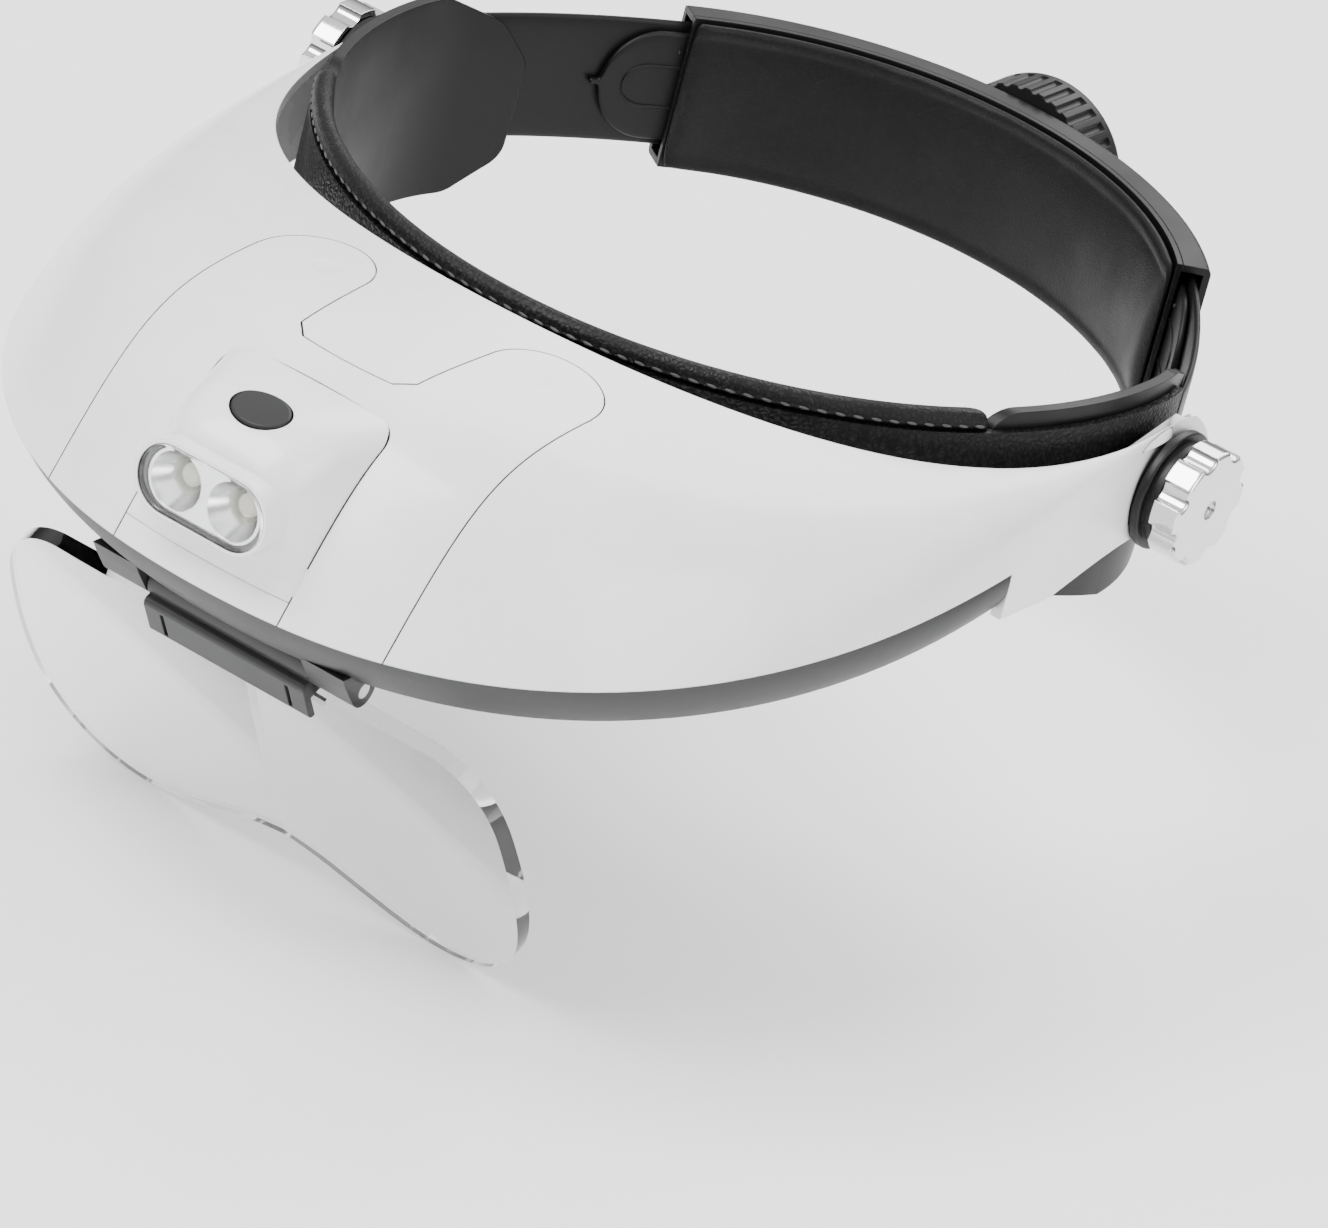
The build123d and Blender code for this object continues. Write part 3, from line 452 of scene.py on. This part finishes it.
lining = swept(
    "sweatband_cover", spread(-LINING_END, LINING_END, 1.6), lining_section, LOOKS["lining_leather"], 2
)
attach(lining, "band")
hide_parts("sweatband")
STITCH_REACH = 90.0
STITCH_ROWS = (
    ("hem_stitches", 1.35, -2.7, 0.24),
    ("lining_stitches", -2.1, -3.75, 0.26),
    ("lower_stitches", -2.1, -31.3, 0.26),
)
for row_name, row_offset, row_height, row_radius in STITCH_ROWS:
    row = stitches(row_name, STITCH_REACH, row_offset, row_height, row_radius, "band")


# ---------------------------------------------------------------- rear pad

PAD_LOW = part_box("rear_pad")[0][2] / MM
PAD_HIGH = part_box("rear_pad")[1][2] / MM
PAD_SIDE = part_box("rear_pad")[1][0] / MM
PAD_REACH = REAR_RADIUS * math.asin(PAD_SIDE / (REAR_RADIUS - 3.3))
PAD_SECTION = (
    (-3.4, 0.03), (-3.4, 0.3), (-3.4, 0.7), (-3.4, 0.965), (-3.9, 1.0), (-4.8, 1.005),
    (-5.5, 0.975), (-5.45, 0.93), (-4.9, 0.905), (-5.2, 0.87), (-5.8, 0.75), (-6.2, 0.5),
    (-5.8, 0.25), (-5.2, 0.12), (-4.9, 0.09), (-5.4, 0.06), (-5.3, 0.015), (-4.4, -0.005),
)


def pad_section(along):
    """Crowned pad with a rim band along its top and bottom edges."""
    end = min(1.0, (PAD_REACH - abs(along - HALF_RING)) / 5.0)
    keep = math.sqrt(max(0.0, 1.0 - (1.0 - end) ** 2))
    points = []
    for offset, part in PAD_SECTION:
        height = PAD_LOW + (PAD_HIGH - PAD_LOW) * part
        soft = crease(along, height, 0.25) if offset < -5.0 else 0.0
        points.append((-3.6 + (offset + 3.6 + soft) * (0.3 + 0.7 * keep), height))
    return points


pad = swept(
    "rear_pad_cover",
    spread(HALF_RING - PAD_REACH, HALF_RING + PAD_REACH, 1.6),
    pad_section,
    LOOKS["pad_black"],
    2,
)
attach(pad, "rear")
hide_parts("rear_pad")

# ---------------------------------------------------------------- side straps and racks

STRAP_RUN = (along_at(10.5), along_at(64.0))
RACK_RUN = (along_at(41.2), along_at(76.0))
RACK_ROUND = along_at(52.4)
RACK_STATIONS = spread(RACK_RUN[0], RACK_ROUND, 0.5) + spread(RACK_ROUND + 1, RACK_RUN[1], 1.5)
RACK_MIDDLE = -18.9
RACK_HALF = 11.4


def rounded_strip(inner, outer, low, high, edge):
    """Section of a flat strip with softened edges."""
    rows = [low + edge + (high - low - 2 * edge) * i / 6 for i in range(7)]
    section = [(outer, row) for row in rows]
    section += [(outer - edge, high), (inner + edge, high)]
    section += [(inner, row) for row in reversed(rows)]
    section += [(inner + edge, low), (outer - edge, low)]
    return section


def strap_section(along):
    """Flat strap."""
    return rounded_strip(0.0, 1.4, -32.0, -5.8, 0.45)


def rack_section(along):
    """Flat strip whose front end is round."""
    gone = max(0.0, RACK_ROUND - abs(along))
    half = math.sqrt(max(0.4, RACK_HALF**2 - min(gone, RACK_HALF) ** 2))
    return rounded_strip(-1.6, -0.15, RACK_MIDDLE - half, RACK_MIDDLE + half, 0.4)


def bend_with_rear(piece):
    """Bakes the piece's placement into its mesh."""
    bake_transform(piece)


TAB_HALF = 4.3
TAB_CENTRE = 51.0
TAB_BACK = 60.0


def tab_line(side):
    """U-shaped rim round the snap tab: a tube along two straights and a half circle."""
    vertices, faces = [], []
    sides = 8
    places = [(depth, RACK_MIDDLE + TAB_HALF) for depth in spread(TAB_BACK, TAB_CENTRE, 1.0)[:-1]]
    for i in range(17):
        turn = math.pi * (0.5 + i / 16)
        places.append(
            (TAB_CENTRE + TAB_HALF * math.cos(turn), RACK_MIDDLE + TAB_HALF * math.sin(turn))
        )
    places += [(depth, RACK_MIDDLE - TAB_HALF) for depth in spread(TAB_CENTRE, TAB_BACK, 1.0)[1:]]
    for depth, height in places:
        along = side * along_at(depth)
        for j in range(sides):
            turn = 2 * math.pi * j / sides
            vertices.append(
                on_ring(along, -1.6 + 0.32 * math.cos(turn), height + 0.4 * math.sin(turn))
            )
    for i in range(len(places) - 1):
        for j in range(sides):
            k = (j + 1) % sides
            faces.append((i * sides + j, i * sides + k, (i + 1) * sides + k, (i + 1) * sides + j))
    faces.append(tuple(range(sides)))
    faces.append(tuple(range(len(vertices) - sides, len(vertices))))
    return vertices, faces


def dimples(name, side):
    """Three small round marks above the snap tab."""
    work = bmesh.new()
    for depth in (55.0, 57.4, 59.8):
        spot = Matrix.Translation(on_ring(side * along_at(depth), -1.6, RACK_MIDDLE + 7.6))
        size = Matrix.Diagonal((0.45 * MM, 0.45 * MM, 0.45 * MM, 1.0))
        bmesh.ops.create_uvsphere(work, u_segments=12, v_segments=8, radius=1.0, matrix=spot @ size)
    mesh = bpy.data.meshes.new(name)
    work.to_mesh(mesh)
    work.free()
    mesh.materials.append(LOOKS["dial_black"])
    for face in mesh.polygons:
        face.use_smooth = True
    piece = bpy.data.objects.new(name, mesh)
    bpy.context.scene.collection.objects.link(piece)
    return piece


for side, word in ((1, "left"), (-1, "right")):
    strap = swept(
        f"{word}_strap_web",
        [side * s for s in spread(*STRAP_RUN, 1.5)],
        strap_section,
        LOOKS["band_black"],
        1,
    )
    rack = swept(
        f"{word}_rack_web",
        [side * s for s in RACK_STATIONS],
        rack_section,
        LOOKS["band_black"],
        1,
    )
    tab = add_mesh(f"{word}_rack_tab", *tab_line(side), LOOKS["band_black"])
    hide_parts(f"{word}_side_strap")
    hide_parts(f"{word}_rack")
    marks = dimples(f"{word}_rack_marks", side)
    for piece in (strap, rack, tab, marks):
        bend_with_rear(piece)


# ---------------------------------------------------------------- room, light and camera

FLOOR_DROP = 0.0008
FLOOR_HEIGHT = CAD_BOX[0][2] - FLOOR_DROP
FLOOR_HALF = 6.0
FLOOR_LOOK = plastic(
    "floor_paper", (0.95, 0.95, 0.95), (0.96, 0.96, 0.96), (0.6, 0.75), 0.0, 400.0, 0.02, 0.0
)
floor = add_mesh(
    "floor",
    [
        (FLOOR_HALF * x, FLOOR_HALF * y, FLOOR_HEIGHT)
        for x, y in ((-1, -1), (1, -1), (1, 1), (-1, 1))
    ],
    [(0, 1, 2, 3)],
    FLOOR_LOOK,
)


def soft_light(name, place, target, size, energy):
    """Square area light aimed at a point."""
    data = bpy.data.lights.new(name, "AREA")
    data.size = size
    data.energy = energy
    lamp = bpy.data.objects.new(name, data)
    lamp.location = place
    aim = Vector(target) - Vector(place)
    lamp.rotation_euler = aim.to_track_quat("-Z", "Y").to_euler()
    bpy.context.scene.collection.objects.link(lamp)


LIGHTS = (
    ("key", (-0.5, -0.9, 1.3), (0.0, -0.05, -0.03), 1.1, 44.0),
    ("side", (1.3, -0.3, 0.7), (0.0, 0.0, -0.03), 0.9, 12.0),
    ("back", (-0.2, 1.2, 1.1), (0.0, 0.0, -0.02), 1.2, 20.0),
)
for light in LIGHTS:
    soft_light(*light)

SKY_STRENGTH = 1.3
world = bpy.data.worlds.new("studio")
world.use_nodes = True
sky = world.node_tree
sky_coords = sky.nodes.new("ShaderNodeTexCoord")
sky_split = sky.nodes.new("ShaderNodeSeparateXYZ")
sky_ramp = sky.nodes.new("ShaderNodeValToRGB")
sky_ramp.color_ramp.elements[0].position = 0.0
sky_ramp.color_ramp.elements[0].color = (0.10, 0.10, 0.10, 1.0)
sky_ramp.color_ramp.elements[1].position = 0.55
sky_ramp.color_ramp.elements[1].color = (1.0, 1.0, 1.0, 1.0)
sky_low = sky_ramp.color_ramp.elements.new(0.22)
sky_low.color = (0.3, 0.3, 0.3, 1.0)
sky.links.new(sky_coords.outputs["Generated"], sky_split.inputs["Vector"])
sky.links.new(sky_split.outputs["Z"], sky_ramp.inputs["Fac"])
sky.links.new(sky_ramp.outputs["Color"], sky.nodes["Background"].inputs["Color"])
sky.nodes["Background"].inputs["Strength"].default_value = SKY_STRENGTH
bpy.context.scene.world = world

CAMERA_LENS = 250.4
SENSOR_WIDTH = 36.0
CAMERA_PLACE = Vector((0.7500, -1.3632, 0.6731))
CAMERA_RIGHT = Vector((0.7915, 0.5655, 0.2320))
CAMERA_BACK = Vector((0.4327, -0.7865, 0.4407)).normalized()
camera_up = CAMERA_BACK.cross(CAMERA_RIGHT).normalized()
camera_right = camera_up.cross(CAMERA_BACK)
camera_data = bpy.data.cameras.new("camera")
camera_data.lens = CAMERA_LENS
camera_data.sensor_width = SENSOR_WIDTH
camera_data.sensor_fit = "HORIZONTAL"
camera_data.clip_end = 50.0
camera = bpy.data.objects.new("camera", camera_data)
camera.matrix_world = (
    Matrix.Translation(CAMERA_PLACE)
    @ Matrix((camera_right, camera_up, CAMERA_BACK)).transposed().to_4x4()
)
bpy.context.scene.collection.objects.link(camera)
bpy.context.scene.camera = camera

bpy.context.view_layer.update()
